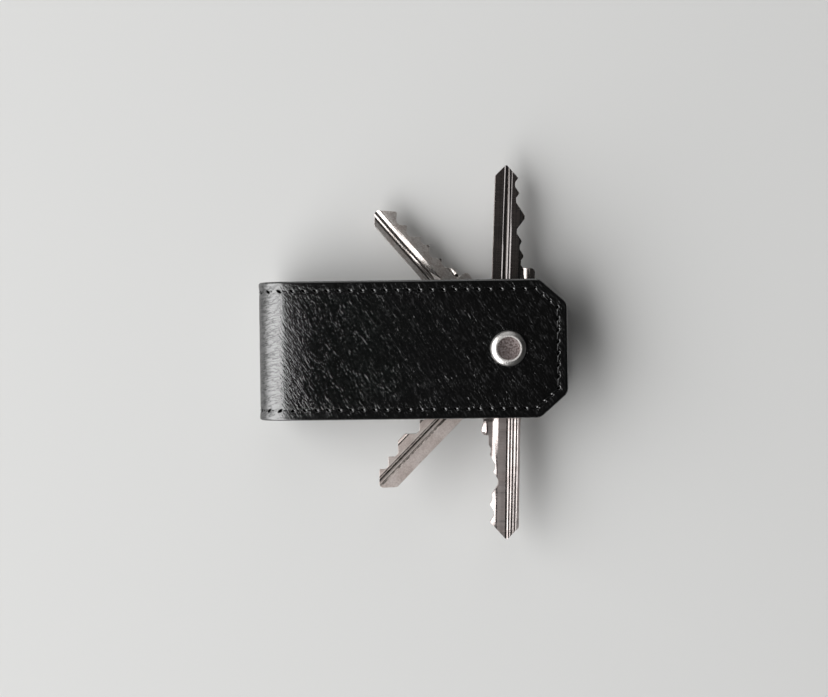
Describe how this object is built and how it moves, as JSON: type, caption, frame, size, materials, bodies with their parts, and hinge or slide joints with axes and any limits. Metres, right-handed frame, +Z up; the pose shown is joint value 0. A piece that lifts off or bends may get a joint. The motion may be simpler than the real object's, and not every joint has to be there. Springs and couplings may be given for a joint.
{
  "type": "key case",
  "caption": "Folded, stitched leather key case that holds flat keys on a post and screw, so that they swing in and out of the fold like knife blades.",
  "frame": {"origin": "on the plane that the back screw head rests on, under the middle of the case's length and midway between the tips of the keys that point up and down", "axes": "+X from the fold to the free end with the post, +Y across the case, +Z up out of the front panel"},
  "size_m": [0.0832, 0.1016, 0.02],
  "materials": {
    "cover_leather": "grained, waxed",
    "lining_leather": "smooth, matt",
    "seam_thread": "waxed twist",
    "post_nickel": "satin nickel",
    "key_nickel": "nickel plated, milled",
    "washer_nylon": "moulded"
  },
  "bodies": {
    "case": {"outer_cover": "cover_leather", "inner_lining": "lining_leather", "needle_thread": "seam_thread", "bobbin_thread": "seam_thread", "post_barrel": "post_nickel", "post_screw": "post_nickel", "washer_1": "washer_nylon", "washer_2": "washer_nylon", "washer_3": "washer_nylon", "washer_4": "washer_nylon", "washer_5": "washer_nylon"},
    "key_up_left": {"key_up_left": "key_nickel"},
    "key_up": {"key_up": "key_nickel"},
    "key_down": {"key_down": "key_nickel"},
    "key_down_left": {"key_down_left": "key_nickel"}
  },
  "joints": [
    {"name": "key_up_left_swing", "type": "hinge", "parent": "case", "child": "key_up_left", "pos_m": [0.0256, 0.00082, 0.00535], "axis": [0, 0, 1], "continuous": true},
    {"name": "key_up_swing", "type": "hinge", "parent": "case", "child": "key_up", "pos_m": [0.0256, 0.00082, 0.00825], "axis": [0, 0, 1], "continuous": true},
    {"name": "key_down_swing", "type": "hinge", "parent": "case", "child": "key_down", "pos_m": [0.0256, 0.00082, 0.01115], "axis": [0, 0, 1], "continuous": true},
    {"name": "key_down_left_swing", "type": "hinge", "parent": "case", "child": "key_down_left", "pos_m": [0.0256, 0.00082, 0.01405], "axis": [0, 0, 1], "continuous": true}
  ]
}
